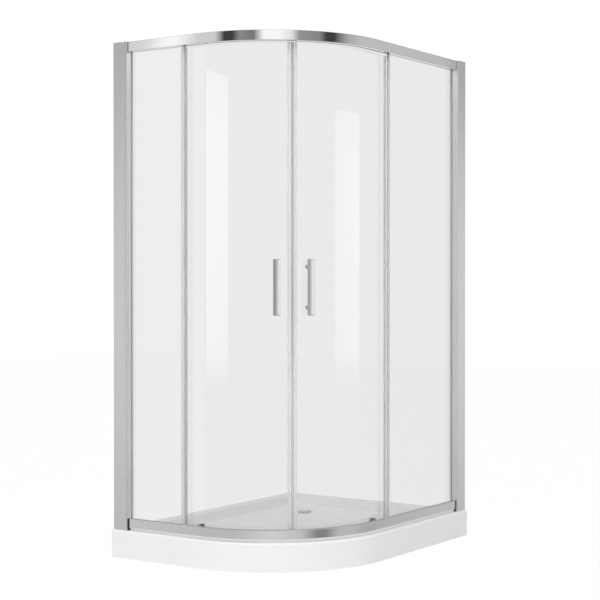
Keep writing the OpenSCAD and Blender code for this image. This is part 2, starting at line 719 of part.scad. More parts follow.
// A wheel with a raised tread and a bored hub, with its middle at the given depth
module wheel(r, wheel_u) translate([0, wheel_u, 0]) rotate([-90, 0, 0]) rotate_extrude()
    polygon([[axle_r + axle_fit, -wheel_w / 2], [axle_r + 2.5, -wheel_w / 2], [axle_r + 3, -wheel_w / 2 + 1.2],
             [r - 2.5, -wheel_w / 2 + 1.2], [r - 2, -wheel_w / 2 + 0.3], [r - 0.6, -wheel_w / 2 + 0.3],
             [r, -wheel_w / 2 + 1], [r, wheel_w / 2 - 1], [r - 0.6, wheel_w / 2 - 0.3],
             [r - 2, wheel_w / 2 - 0.3], [r - 2.5, wheel_w / 2 - 1.2], [axle_r + 3, wheel_w / 2 - 1.2],
             [axle_r + 2.5, wheel_w / 2], [axle_r + axle_fit, wheel_w / 2]]);

module top_wheel_rear(s) color(white) side(s) translate([0, 0, top_axle_z])
    at_rear(s) wheel(top_wheel_r, top_wheel_u);
module top_wheel_front(s) color(white) side(s) translate([0, 0, top_axle_z])
    at_front() wheel(top_wheel_r, top_wheel_u);
module low_wheel(s) color(black) side(s) translate([0, 0, low_axle_z])
    at_rear(s) wheel(low_wheel_r, low_wheel_u);

tray();
tray_carrier();
trap_body();
trap_gasket();
trap_flange();
flange_screws();
drain_cover();
dip_tube();
wall_profile(left);  // wall_profile_left
wall_profile(right);  // wall_profile_right
post(left);  // post_left
post(right);  // post_right
post_screws();
post_caps();
top_rail();
bottom_rail();
top_connectors();
bottom_connectors();
rail_screws();
door_stops();
fixed_glass(left);  // fixed_glass_left
fixed_glass(right);  // fixed_glass_right
glazing_gasket(left);  // glazing_gasket_left
glazing_gasket(right);  // glazing_gasket_right
fixed_seal(left);  // fixed_seal_left
fixed_seal(right);  // fixed_seal_right
door_glass(left);  // door_glass_left
magnet_seal(left);  // magnet_seal_left
magnet_strip(left);  // magnet_strip_left
trailing_seal(left);  // trailing_seal_left
wiper(left);  // wiper_left
bumper(left);  // bumper_left
handle(left);  // handle_left
handle_screws(left);  // handle_screws_left
handle_grommets(left);  // handle_grommets_left
top_hubs(left);  // top_hubs_left
low_hub(left);  // low_hub_left
hub_caps(left);  // hub_caps_left
top_wheel_front(left);  // top_wheel_left_front
top_wheel_rear(left);  // top_wheel_left_rear
low_wheel(left);  // low_wheel_left
door_glass(right);  // door_glass_right
magnet_seal(right);  // magnet_seal_right
magnet_strip(right);  // magnet_strip_right
trailing_seal(right);  // trailing_seal_right
wiper(right);  // wiper_right
bumper(right);  // bumper_right
handle(right);  // handle_right
handle_screws(right);  // handle_screws_right
handle_grommets(right);  // handle_grommets_right
top_hubs(right);  // top_hubs_right
low_hub(right);  // low_hub_right
hub_caps(right);  // hub_caps_right
top_wheel_front(right);  // top_wheel_right_front
top_wheel_rear(right);  // top_wheel_right_rear
low_wheel(right);  // low_wheel_right
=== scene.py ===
import json
import math

import bmesh
import bpy
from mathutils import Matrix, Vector


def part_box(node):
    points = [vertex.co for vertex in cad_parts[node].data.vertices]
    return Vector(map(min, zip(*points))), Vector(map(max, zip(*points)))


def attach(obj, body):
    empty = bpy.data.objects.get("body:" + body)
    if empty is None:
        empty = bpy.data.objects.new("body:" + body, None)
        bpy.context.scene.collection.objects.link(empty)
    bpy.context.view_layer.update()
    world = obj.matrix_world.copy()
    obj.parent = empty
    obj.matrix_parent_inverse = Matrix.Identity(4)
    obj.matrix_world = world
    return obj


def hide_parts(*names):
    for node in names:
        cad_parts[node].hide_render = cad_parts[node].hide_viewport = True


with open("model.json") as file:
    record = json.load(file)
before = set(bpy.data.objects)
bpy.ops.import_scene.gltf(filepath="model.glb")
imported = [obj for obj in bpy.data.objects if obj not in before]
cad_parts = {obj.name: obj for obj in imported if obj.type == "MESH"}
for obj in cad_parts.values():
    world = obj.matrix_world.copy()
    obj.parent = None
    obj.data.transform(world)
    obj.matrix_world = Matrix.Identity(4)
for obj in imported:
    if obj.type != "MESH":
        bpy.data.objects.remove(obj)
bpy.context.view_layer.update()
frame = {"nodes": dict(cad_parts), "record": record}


def middle_z(node):
    """The height of the middle of a node's solid."""
    low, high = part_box(node)
    return (low.z + high.z) / 2


# Driving sizes, in metres, as the solids have them
TRAY_R = 0.500
RIM_WALL_W = 0.052
RIM_FRONT_W = 0.084
BASIN_DEPTH = 0.040
BASIN_SLOPE = 0.024
BASIN_CORNER_R = 0.045
SHELL_T = 0.005
LIP_H = 0.040
DRAIN_R = 0.030
RAIL_INSET = 0.016
WALL_GAP = 0.004
GLASS_T = 0.006
GASKET_T = 0.001
TOP_RAIL_H = 0.038
METAL_T = 0.002
CHAMBER_D = 0.017
SLOT_W = 0.008
SLOT_WALL = 0.0015
SLOT_D = 0.009
SLOT_MARGIN = 0.001
DOOR_LIFT = 0.003
TRACK_D = 0.060
TOE_H = 0.012
TOE_IN = 0.003
POST_W = 0.066
POST_PROUD = 0.010
POST_D = 0.044
WALL_PROFILE_W = 0.036
WEB_GAP = 0.010
CAP_T = 0.002
TOP_FLANGE = 0.002
PLUG_FLANGE = 0.006
JOINTS = {"left": 0.069, "right": 0.115}
REAR_WHEELS = {"left": 0.007, "right": 0.032}
OVERLAP = 0.017
DOOR_U = 0.040
PANE_U = 0.018
SEAM_GAP = 0.008
SEAL_LEG = 0.010
SEAL_T = 0.0012
FIT = 0.0003
HANDLE_INSET = 0.059
HANDLE_W = 0.028
HANDLE_T = 0.012
HANDLE_LEN = 0.206
HANDLE_CROWN_R = 0.020
HANDLE_EDGE_R = 0.003
HANDLE_OFF = 0.040
HANDLE_PITCH = 0.150
HANDLE_POST_R = 0.006
HUB_CORE_R = 0.005
GROMMET_R = 0.0055
GROMMET_HEAD_T = 0.0018
LOW_WHEEL_R = 0.012
LOW_WHEEL_U = 0.033
WHEEL_W = 0.006
AXLE_R = 0.003

# Sizes read from the solids and worked out from those above
tray_low, tray_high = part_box("tray")
RIM_Z = tray_high.z
TOP_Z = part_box("top_rail")[1].z
ARC = Vector((tray_high.x - TRAY_R, tray_low.y + TRAY_R, 0))
RAIL_R = TRAY_R - RAIL_INSET
RUNS = {
    "left": ARC.x - tray_low.x - WALL_GAP,
    "right": tray_high.y - ARC.y - WALL_GAP,
}
SIDES = ("left", "right")
BOTTOM_RAIL_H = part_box("bottom_rail")[1].z - RIM_Z
SLOT_BOTTOM = BOTTOM_RAIL_H - SLOT_D - METAL_T - SLOT_MARGIN
SLOT_BACK = CHAMBER_D + SLOT_W + SLOT_WALL
TOP_RAIL_Z = TOP_Z - TOP_RAIL_H
DOOR_LOW_Z, DOOR_HIGH_Z = (corner.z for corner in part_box("door_glass_left"))
TRACK_Z = DOOR_LOW_Z - DOOR_LIFT
LOW_AXLE_Z = middle_z("low_wheel_left")
TOP_AXLE_Z = middle_z("top_wheel_left_rear")
HANDLE_Z = middle_z("handle_left")
gasket_low, gasket_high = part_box("trap_gasket")
DRAIN = (gasket_low + gasket_high) / 2
DOOR_MID_R = RAIL_R - DOOR_U - GLASS_T / 2
GLASS_END = 45 - math.degrees(SEAM_GAP / DOOR_MID_R)
HANDLE_ANGLE = 45 - math.degrees(HANDLE_INSET / (RAIL_R - DOOR_U))


# Places along the enclosure

def to_row(side, x, y):
    """A point of a side's own plan, where the straight run lies along -X, in the row frame."""
    if side == "left":
        return Vector((ARC.x + x, ARC.y + y, 0))
    return Vector((ARC.x - y, ARC.y - x, 0))


class Station:
    """A place on the rails' outer face, with the way inwards and the way along, towards the seam."""

    def __init__(self, side, x=None, degrees=None):
        if degrees is None:
            here, inner, ahead = (x, -RAIL_R), (x, 1 - RAIL_R), (x + 1, -RAIL_R)
        else:
            s, c = math.sin(math.radians(degrees)), math.cos(math.radians(degrees))
            here = (RAIL_R * s, -RAIL_R * c)
            inner, ahead = (here[0] - s, here[1] + c), (here[0] + c, here[1] + s)
        self.point = to_row(side, *here)
        self.inward = to_row(side, *inner) - self.point
        self.along = to_row(side, *ahead) - self.point

    def at(self, along, depth, z):
        return self.point + self.along * along + self.inward * depth + Vector((0, 0, z))


def run_path(side, start, end, count=2):
    """Stations between two places on a straight run, which ends at 0 where the bend begins."""
    return [Station(side, x=start + (end - start) * i / (count - 1)) for i in range(count)]


def bend_path(side, start, end, step=0.75):
    """Stations round the bend, between two angles from a side's straight run, all in degrees."""
    count = max(2, round(abs(end - start) / step) + 1)
    return [Station(side, degrees=start + (end - start) * i / (count - 1)) for i in range(count)]


def whole_path(short_by):
    """From one post round the bend to the other, each end short of its wall by the length given."""
    join = -0.001
    left = run_path("left", short_by - RUNS["left"], join, 8)
    right = run_path("right", join, short_by - RUNS["right"], 12)
    return left + bend_path("left", 0, 90) + right


# Mesh helpers

def make_object(name, verts, faces, mats, face_slots, smooth_angle):
    """An object of points and faces, shaded smooth but for its edges above an angle in degrees."""
    mesh = bpy.data.meshes.new(name)
    mesh.from_pydata([tuple(v) for v in verts], [], faces)
    for mat in mats:
        mesh.materials.append(mat)
    for polygon, index in zip(mesh.polygons, face_slots):
        polygon.material_index = index
    clean(mesh)
    piece = bpy.data.objects.new(name, mesh)
    bpy.context.scene.collection.objects.link(piece)
    mesh.shade_smooth()
    mesh.set_sharp_from_angle(angle=math.radians(smooth_angle))
    weigh_normals(piece)
    return piece


def weigh_normals(piece):
    """Lets broad faces keep their own normals, so that only the rounded edges between them look round."""
    modifier = piece.modifiers.new("normals", "WEIGHTED_NORMAL")
    modifier.weight = 100
    modifier.keep_sharp = True
    apply_modifiers(piece)


def apply_modifiers(piece):
    """Gives a piece the mesh that its modifiers make."""
    graph = bpy.context.evaluated_depsgraph_get()
    mesh = bpy.data.meshes.new_from_object(piece.evaluated_get(graph))
    piece.modifiers.clear()
    piece.data = mesh


def clean(mesh):
    """Merges points that coincide and turns a closed mesh the right way out."""
    work = bmesh.new()
    work.from_mesh(mesh)
    bmesh.ops.remove_doubles(work, verts=work.verts, dist=1e-6)
    bmesh.ops.recalc_face_normals(work, faces=work.faces)
    if work.calc_volume(signed=True) < 0:
        bmesh.ops.reverse_faces(work, faces=work.faces)
    work.to_mesh(mesh)
    work.free()


def skin(name, rings, mats, slot_of=None, loop=False, smooth_angle=35):
    """Joins rings of points into a closed mesh; in a loop the last ring joins the first."""
    count = len(rings[0])
    verts = [point for ring in rings for point in ring]
    faces, slots = [], []
    for i in range(len(rings) if loop else len(rings) - 1):
        here, there = i * count, (i + 1) % len(rings) * count
        for k in range(count):
            n = (k + 1) % count
            faces.append((here + k, here + n, there + n, there + k))
            slots.append(slot_of(i, k) if slot_of else 0)
    if not loop:
        last = (len(rings) - 1) * count
        faces += [tuple(reversed(range(count))), tuple(range(last, last + count))]
        slots += [slot_of(-1, 0) if slot_of else 0] * 2
    return make_object(name, verts, faces, mats, slots, smooth_angle)


def rounded(points, radius, steps=3):
    """A closed outline with its corners rounded; a point may bring its own radius as a third value."""
    result = []
    for i, point in enumerate(points):
        here = Vector(point[:2])
        before = Vector(points[i - 1][:2]) - here
        after = Vector(points[(i + 1) % len(points)][:2]) - here
        own = point[2] if len(point) > 2 else radius
        cut = min(own, before.length * 0.45, after.length * 0.45)
        a, b = here + before.normalized() * cut, here + after.normalized() * cut
        for k in range(steps + 1):
            t = k / steps
            result.append(a * (1 - t) ** 2 + here * (2 * t * (1 - t)) + b * t ** 2)
    return result


def sweep(name, outline, path, mats, slot_of=None, smooth_angle=35):
    """Carries an outline of (depth, height) along stations and closes both ends."""
    rings = [[station.at(0, u, z) for u, z in outline] for station in path]
    return skin(name, rings, mats, slot_of, smooth_angle=smooth_angle)


def prism(name, station, outline, low, high, mats):
    """Draws an outline of (along, depth) straight up at a station."""
    rings = [[station.at(x, u, z) for x, u in outline] for z in (low, high)]
    return skin(name, rings, mats)


def lathe(name, station, z, profile, mats, slot_of=None, loop=False, sides=48):
    """Turns a profile of (radius, depth) about a level axis that points inwards; a loop leaves a bore."""
    angles = [2 * math.pi * k / sides for k in range(sides)]
    rings = [[station.at(r * math.cos(a), u, z + r * math.sin(a)) for a in angles] for r, u in profile]
    return skin(name, rings, mats, slot_of, loop)


def joined(name, pieces):
    """Makes one object of several."""
    with bpy.context.temp_override(active_object=pieces[0], selected_editable_objects=pieces):
        bpy.ops.object.join()
    pieces[0].name = name
    return pieces[0]


def dress(piece, node, body):
    """Puts a piece in place of a node, on the node's body."""
    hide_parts(node)
    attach(piece, body)


# Materials

def shader(name, color, metallic, roughness, **sockets):
    """A new material; its shader's other inputs are named with underscores."""
    mat = bpy.data.materials.new(name)
    mat.use_nodes = True
    principled = mat.node_tree.nodes["Principled BSDF"]
    principled.inputs["Base Color"].default_value = (*color, 1)
    principled.inputs["Metallic"].default_value = metallic
    principled.inputs["Roughness"].default_value = roughness
    for socket, value in sockets.items():
        principled.inputs[socket.replace("_", " ")].default_value = value
    return mat


def add(tree, kind, **values):
    """Adds a node and sets its inputs or, where it has no such input, its properties."""
    node = tree.nodes.new(kind)
    for key, value in values.items():
        label = key.replace("_", " ")
        if label in node.inputs:
            node.inputs[label].default_value = value
        else:
            setattr(node, key, value)
    return node


def noise(mat, scale, stretch=(1, 1, 1), detail=3.0):
    """Noise over the object's own coordinates, drawn out along an axis by a small stretch there."""
    tree = mat.node_tree
    coords = add(tree, "ShaderNodeTexCoord")
    mapping = add(tree, "ShaderNodeMapping", Scale=stretch)
    texture = add(tree, "ShaderNodeTexNoise", Scale=scale, Detail=detail)
    tree.links.new(coords.outputs["Object"], mapping.inputs["Vector"])
    tree.links.new(mapping.outputs["Vector"], texture.inputs["Vector"])
    return texture.outputs["Fac"]


def spread(mat, source, low, high):
    """Maps the middle of a noise to a range."""
    node = add(mat.node_tree, "ShaderNodeMapRange", From_Min=0.3, From_Max=0.7, To_Min=low, To_Max=high)
    mat.node_tree.links.new(source, node.inputs["Value"])
    return node.outputs["Result"]


def bump(mat, source, strength, distance=0.0002):
    tree = mat.node_tree
    node = add(tree, "ShaderNodeBump", Strength=strength, Distance=distance)
    tree.links.new(source, node.inputs["Height"])
    tree.links.new(node.outputs["Normal"], tree.nodes["Principled BSDF"].inputs["Normal"])


def vary_roughness(mat, source, low, high):
    tree = mat.node_tree
    tree.links.new(spread(mat, source, low, high), tree.nodes["Principled BSDF"].inputs["Roughness"])


def vary_color(mat, source, dark, light):
    tree = mat.node_tree
    mix = add(tree, "ShaderNodeMix", data_type="RGBA")
    colours = [socket for socket in mix.inputs if socket.type == "RGBA"]
    colours[0].default_value = (*dark, 1)
    colours[1].default_value = (*light, 1)
    tree.links.new(spread(mat, source, 0, 1), mix.inputs["Factor"])
    result = [socket for socket in mix.outputs if socket.type == "RGBA"][0]
    tree.links.new(result, tree.nodes["Principled BSDF"].inputs["Base Color"])


def let_lamps_through(mat, tint):
    """Lamps shine through this glass, tinted, so that what stands behind it is lit."""
    tree = mat.node_tree
    path = add(tree, "ShaderNodeLightPath")
    through = add(tree, "ShaderNodeBsdfTransparent", Color=(*tint, 1))
    mix = add(tree, "ShaderNodeMixShader")
    tree.links.new(path.outputs["Is Shadow Ray"], mix.inputs["Fac"])
    tree.links.new(tree.nodes["Principled BSDF"].outputs["BSDF"], mix.inputs[1])
    tree.links.new(through.outputs["BSDF"], mix.inputs[2])
    tree.links.new(mix.outputs["Shader"], tree.nodes["Material Output"].inputs["Surface"])


def polished_aluminium():
    mat = shader("polished_aluminium", (0.88, 0.885, 0.89), 1.0, 0.05)
    vary_roughness(mat, noise(mat, 60, (1, 1, 8)), 0.035, 0.065)
    bump(mat, noise(mat, 900, (0.02, 0.02, 1)), 0.015)
    return mat


def satin_aluminium():
    mat = shader("satin_aluminium", (0.84, 0.845, 0.85), 1.0, 0.3)
    vary_color(mat, noise(mat, 500, (1, 1, 0.001)), (0.83, 0.835, 0.84), (0.86, 0.865, 0.87))
    vary_roughness(mat, noise(mat, 400, (1, 1, 0.002)), 0.26, 0.31)
    bump(mat, noise(mat, 1800, (1, 1, 0.001)), 0.015)
    return mat


def chrome():
    mat = shader("chrome", (0.80, 0.805, 0.81), 1.0, 0.12)
    vary_roughness(mat, noise(mat, 90), 0.10, 0.16)
    bump(mat, noise(mat, 300), 0.01)
    return mat


def steel():
    mat = shader("steel", (0.56, 0.56, 0.56), 1.0, 0.3)
    vary_roughness(mat, noise(mat, 800), 0.25, 0.38)
    bump(mat, noise(mat, 1500), 0.05)
    return mat


def acrylic():
    mat = shader("acrylic", (0.88, 0.88, 0.878), 0.0, 0.22, Specular_IOR_Level=0.35)
    vary_color(mat, noise(mat, 7), (0.87, 0.87, 0.867), (0.89, 0.89, 0.888))
    vary_roughness(mat, noise(mat, 25), 0.18, 0.26)
    bump(mat, noise(mat, 120), 0.02, 0.0003)
    return mat


def plain(name, color, roughness, grain, strength=0.1):
    """A moulded plastic or rubber with a fine grain."""
    mat = shader(name, color, 0.0, roughness)
    vary_roughness(mat, noise(mat, grain * 0.5), roughness * 0.85, min(1.0, roughness * 1.2))
    bump(mat, noise(mat, grain), strength)
    return mat


def pane_glass():
    """Toughened glass: perfectly sharp, with the faint waviness of a toughened pane."""
    mat = shader("pane_glass", (0.825, 0.830, 0.828), 0.0, 0.0, IOR=1.5, Transmission_Weight=1.0)
    bump(mat, noise(mat, 3.5, (1, 1, 0.5), 1.0), 0.02, 0.0008)
    let_lamps_through(mat, (0.93, 0.935, 0.93))
    return mat


def glass_edge():
    mat = shader("glass_edge", (0.86, 0.93, 0.91), 0.0, 0.12, IOR=1.5, Transmission_Weight=0.6)
    bump(mat, noise(mat, 90, (1, 1, 0.1)), 0.01)
    let_lamps_through(mat, (0.85, 0.9, 0.88))
    return mat


def clear_seal():
    mat = shader("clear_seal", (0.95, 0.955, 0.955), 0.0, 0.1, IOR=1.3, Transmission_Weight=0.78)
    bump(mat, noise(mat, 60, (1, 1, 0.02)), 0.004)
    let_lamps_through(mat, (0.8, 0.8, 0.8))
    return mat


MATERIALS = {
    "acrylic": acrylic(),
    "foam": plain("foam", (0.88, 0.88, 0.86), 0.85, 500, 0.5),
    "pipe_plastic": plain("pipe_plastic", (0.82, 0.82, 0.81), 0.4, 700),
    "black_rubber": plain("black_rubber", (0.045, 0.045, 0.045), 0.7, 1200, 0.2),
    "black_plastic": plain("black_plastic", (0.03, 0.03, 0.031), 0.45, 1500, 0.15),
    "white_plastic": plain("white_plastic", (0.82, 0.82, 0.81), 0.35, 900),
    "chrome": chrome(),
    "polished_aluminium": polished_aluminium(),
    "satin_aluminium": satin_aluminium(),
    "steel": steel(),
    "glass": pane_glass(),
    "clear_seal": clear_seal(),
    "magnet": plain("magnet", (0.34, 0.34, 0.34), 0.7, 800),
}
EDGE = glass_edge()
GASKET = plain("pale_rubber", (0.62, 0.62, 0.62), 0.5, 1200, 0.2)

# Finish of every solid, with a few that differ in tone from the rest of their kind
OWN_FINISH = {
    "post_caps": plain("grey_plastic", (0.52, 0.52, 0.52), 0.45, 1500, 0.15),
    "glazing_gasket_left": GASKET,
    "glazing_gasket_right": GASKET,
}
slot_of_node = {row["node"]: row["material_slot"] for row in frame["record"]["subparts"]}
for name, solid in frame["nodes"].items():
    solid.data.materials.clear()
    solid.data.materials.append(OWN_FINISH.get(name, MATERIALS[slot_of_node[name]]))


# Tray

# Roundings that the solids lack or have smaller
BASIN_LIP_R = 0.008
BASIN_FOOT_R = 0.018
BASIN_LEAST_R = 0.012
RIM_EDGE_R = 0.009
# How finely rings and edges are divided
CORNER_STEPS = 10
BEND_STEPS = 72
SIDE_STEPS = 10
EDGE_STEPS = 6


def tray_ring(front, wall, r, z_front, z_wall, corner_wall=None):
    """The tray's plan drawn in by a length on its open sides and by another on its wall sides.

    The two places where the open sides meet the wall sides hold a pair of points, one at each height.
    """
    corner = wall if corner_wall is None else corner_wall
    x0, y0 = tray_low.x, tray_low.y
    x1, y1 = tray_high.x, tray_high.y
    step = max(r, SHELL_T)
    points = []

    def arc(center, radius, start, count, z):
        for k in range(count + 1):
            a = math.radians(start + 90 * k / count)
            points.append(Vector((center[0] + radius * math.cos(a), center[1] + radius * math.sin(a), z)))

    def line(a, b, z):
        for k in range(1, SIDE_STEPS):
            t = k / SIDE_STEPS
            points.append(Vector((a[0] + (b[0] - a[0]) * t, a[1] + (b[1] - a[1]) * t, z)))

    arc((x0 + corner + r, y0 + front + r), r, 180, CORNER_STEPS, z_front)
    line((x0 + corner + r, y0 + front), (ARC.x, y0 + front), z_front)
    arc((ARC.x, ARC.y), TRAY_R - front, 270, BEND_STEPS, z_front)
    line((x1 - front, ARC.y), (x1 - front, y1 - corner - r), z_front)
    arc((x1 - front - r, y1 - corner - r), r, 0, CORNER_STEPS, z_front)
    points.append(Vector((x1 - front - step * (corner == wall), y1 - corner, z_front)))
    points.append(Vector((x1 - front - step * (corner == wall), y1 - wall, z_wall)))
    line((x1 - front - step, y1 - wall), (x0 + wall + r, y1 - wall), z_wall)
    arc((x0 + wall + r, y1 - wall - r), r, 90, CORNER_STEPS, z_wall)
    line((x0 + wall, y1 - wall - r), (x0 + wall, y0 + front + step), z_wall)
    points.append(Vector((x0 + wall, y0 + front + step * (corner == wall), z_wall)))
    points.append(Vector((x0 + corner, y0 + front + step * (corner == wall), z_front)))
    return points


def basin_ring(out, z):
    """A ring of the basin, at a distance in from the edge of its rim, with corners of a least radius."""
    r = max(BASIN_LEAST_R, BASIN_CORNER_R - out)
    return tray_ring(RIM_FRONT_W + out, RIM_WALL_W + out, r, z, z)


def drain_ring(like, r, z):
    """A round ring at the drain, with its points in the directions of another ring's."""
    points = []
    for point in like:
        way = Vector((point.x - DRAIN.x, point.y - DRAIN.y, 0)).normalized()
        points.append(Vector((DRAIN.x, DRAIN.y, z)) + way * r)
    return points


def curve(a, b, c, steps):
    """A round blend from a to c that leaves and arrives along the lines through b."""
    return [tuple(p * (1 - t) ** 2 + q * 2 * t * (1 - t) + s * t ** 2 for p, q, s in zip(a, b, c))
            for t in (k / steps for k in range(steps + 1))]


def tray():
    """Acrylic shell: apron, rounded rim, and a basin whose wall runs softly into rim and floor."""
    lip_z = RIM_Z - LIP_H
    floor_z = RIM_Z - BASIN_DEPTH
    fall = 0.0012
    wall_edge_r = 0.0025
    corner_r = 0.003
    rings = [tray_ring(0, 0, corner_r, 0, lip_z)]
    rings.append(tray_ring(0, 0, corner_r, RIM_Z - RIM_EDGE_R, RIM_Z - wall_edge_r))
    for k in range(1, EDGE_STEPS + 1):
        t = math.pi / 2 * k / EDGE_STEPS
        up, over = math.sin(t) - 1, 1 - math.cos(t)
        rings.append(tray_ring(RIM_EDGE_R * over, wall_edge_r * over, corner_r,
                               RIM_Z + RIM_EDGE_R * up, RIM_Z + wall_edge_r * up))
    steep = math.atan2(BASIN_DEPTH, BASIN_SLOPE)
    lip_t = BASIN_LIP_R * math.tan(steep / 2)
    foot_t = BASIN_FOOT_R * math.tan(steep / 2)
    lip = curve((-lip_t, RIM_Z), (0, RIM_Z), (lip_t * math.cos(steep), RIM_Z - lip_t * math.sin(steep)), 6)
    foot = curve((BASIN_SLOPE - foot_t * math.cos(steep), floor_z + foot_t * math.sin(steep)),
                 (BASIN_SLOPE, floor_z + fall), (BASIN_SLOPE + foot_t, floor_z + fall), 8)
    rings += [basin_ring(out, z) for out, z in lip + foot]
    floor = basin_ring(BASIN_SLOPE + foot_t, floor_z + fall)
    circle = drain_ring(floor, DRAIN_R, floor_z)
    rings += [[a.lerp(b, t) for a, b in zip(floor, circle)] for t in (0.25, 0.5, 0.75)]
    rings.append(drain_ring(floor, DRAIN_R, floor_z))
    rings.append(drain_ring(floor, DRAIN_R, floor_z - SHELL_T))
    rings.append(basin_ring(BASIN_SLOPE - SHELL_T, floor_z - SHELL_T))
    rings.append(basin_ring(-SHELL_T, RIM_Z - SHELL_T))
    rings.append(tray_ring(SHELL_T, SHELL_T, 0, RIM_Z - SHELL_T, RIM_Z - SHELL_T))
    rings.append(tray_ring(SHELL_T, SHELL_T, 0, lip_z, lip_z))
    rings.append(tray_ring(SHELL_T, SHELL_T, 0, 0, lip_z, corner_wall=0))
    piece = skin("tray_shell", rings, [MATERIALS["acrylic"]], loop=True, smooth_angle=40)
    dress(piece, "tray", "root")


# Rails and posts

RAIL_EDGE_R = 0.0015
RAIL_INNER_R = 0.0005


def top_rail():
    """The top rail as one bent extrusion with rounded edges."""
    low = TOP_RAIL_Z
    floor = low + SLOT_D + METAL_T
    outline = [
        (0, low, RAIL_EDGE_R), (CHAMBER_D, low), (CHAMBER_D, low + SLOT_D),
        (CHAMBER_D + SLOT_W, low + SLOT_D), (CHAMBER_D + SLOT_W, low), (SLOT_BACK, low), (SLOT_BACK, floor),
        (METAL_T, floor), (METAL_T, TOP_Z - METAL_T), (SLOT_BACK, TOP_Z - METAL_T), (SLOT_BACK, TOP_Z),
        (0, TOP_Z, RAIL_EDGE_R),
    ]
    piece = sweep("top_rail_profile", rounded(outline, RAIL_INNER_R), whole_path(POST_W + TOP_FLANGE),
                  [MATERIALS["polished_aluminium"]])
    dress(piece, "top_rail", "root")


def bottom_rail():
    """The bottom rail: a front chamber on a set-back toe, the glass slot and the wheels' track."""
    z = RIM_Z
    slot_z = z + SLOT_BOTTOM
    bead = 0.004
    foot_r, toe_r, soft_r = 0.0002, 0.0003, 0.002
    outline = [
        (0, z + TOE_H, toe_r), (TOE_IN, z + TOE_H / 3, soft_r), (TOE_IN, z, foot_r), (TRACK_D, z, foot_r),
        (TRACK_D, TRACK_Z, soft_r), (SLOT_BACK, TRACK_Z, RAIL_EDGE_R), (SLOT_BACK, slot_z + bead),
        (SLOT_BACK - SLOT_WALL, slot_z + bead), (SLOT_BACK - SLOT_WALL, slot_z), (CHAMBER_D, slot_z),
        (CHAMBER_D, z + BOTTOM_RAIL_H), (0, z + BOTTOM_RAIL_H, RAIL_EDGE_R),
    ]
    piece = sweep("bottom_rail_profile", rounded(outline, RAIL_INNER_R), whole_path(POST_W + PLUG_FLANGE),
                  [MATERIALS["polished_aluminium"]])
    dress(piece, "bottom_rail", "root")


def post(side):
    """A post: a cover over the wall profile, with a slot for the pane and rounded front edges."""
    front_r, back_r, wall_r, inner_r = 0.0025, 0.002, 0.001, 0.0004
    cover = POST_W - WALL_PROFILE_W
    web = WALL_PROFILE_W + WEB_GAP
    front, back = -POST_PROUD, POST_D - POST_PROUD
    slot = web + 2 * METAL_T
    outline = [
        (cover, front, wall_r), (POST_W, front, front_r), (POST_W, CHAMBER_D), (slot, CHAMBER_D),
        (slot, CHAMBER_D + SLOT_W), (POST_W, CHAMBER_D + SLOT_W), (POST_W, back, back_r),
        (cover, back, wall_r), (cover, back - METAL_T), (web, back - METAL_T), (web, front + METAL_T),
        (cover, front + METAL_T),
    ]
    piece = prism("post_%s_profile" % side, Station(side, x=-RUNS[side]), rounded(outline, inner_r),
                  RIM_Z, TOP_Z - CAP_T, [MATERIALS["satin_aluminium"]])
    dress(piece, "post_" + side, "root")


# Panes

def pane_outline(u, low, high):
    """A pane's section, with its outer face at a depth and an arris on each edge."""
    arris = 0.0007
    back = u + GLASS_T
    return [(u + arris, low), (back - arris, low), (back, low + arris), (back, high - arris),
            (back - arris, high), (u + arris, high), (u, high - arris), (u, low + arris)]


def pane_slot(ring, k):
    """The two faces of a pane are clear, and its polished edges are greener."""
    return 0 if k in (2, 6) and ring >= 0 else 1


def fixed_glass(side):
    """A fixed pane, from its seat in the post to its free edge."""
    seat = POST_W - WALL_PROFILE_W - WEB_GAP - 2 * METAL_T - GASKET_T
    path = run_path(side, POST_W - RUNS[side] - seat, -JOINTS[side])
    outline = pane_outline(PANE_U, RIM_Z + SLOT_BOTTOM + GASKET_T, TOP_RAIL_Z + SLOT_D - GASKET_T)
    piece = sweep("fixed_pane_" + side, outline, path, [MATERIALS["glass"], EDGE], pane_slot, 30)
    dress(piece, "fixed_glass_" + side, "root")


def rear_station(side):
    return Station(side, x=-REAR_WHEELS[side])


def handle_station(side):
    return Station(side, degrees=HANDLE_ANGLE)


def door_glass(side):
    """A door's pane: straight at its rear, bent in front, and drilled for its hubs and its handle."""
    join = -0.0005
    path = run_path(side, -JOINTS[side] - OVERLAP, join, 3) + bend_path(side, 0, GLASS_END, 0.5)
    piece = sweep("door_pane_" + side, pane_outline(DOOR_U, DOOR_LOW_Z, DOOR_HIGH_Z), path,
                  [MATERIALS["glass"], EDGE], pane_slot, 30)
    holes = [(rear_station(side), TOP_AXLE_Z, HUB_CORE_R), (handle_station(side), TOP_AXLE_Z, HUB_CORE_R),
             (rear_station(side), LOW_AXLE_Z, HUB_CORE_R)]
    holes += [(handle_station(side), HANDLE_Z + way * HANDLE_PITCH / 2, GROMMET_R) for way in (-1, 1)]
    drill(piece, holes)
    dress(piece, "door_glass_" + side, "door_" + side)


def drill(piece, holes):
    """Cuts round holes through a door's pane, and keeps its two faces' shading smooth round them."""
    reach = 0.003
    cutters = []
    for i, (station, z, r) in enumerate(holes):
        profile = [(r + FIT, DOOR_U - reach), (r + FIT, DOOR_U + GLASS_T + reach)]
        cutters.append(lathe("%s_drill_%d" % (piece.name, i), station, z, profile, [EDGE], sides=24))
    cutter = joined(piece.name + "_drills", cutters)
    modifier = piece.modifiers.new("holes", "BOOLEAN")
    modifier.object = cutter
    modifier.operation = "DIFFERENCE"
    modifier.solver = "EXACT"
    apply_modifiers(piece)
    bpy.data.objects.remove(cutter)
    smooth_faces(piece.data)


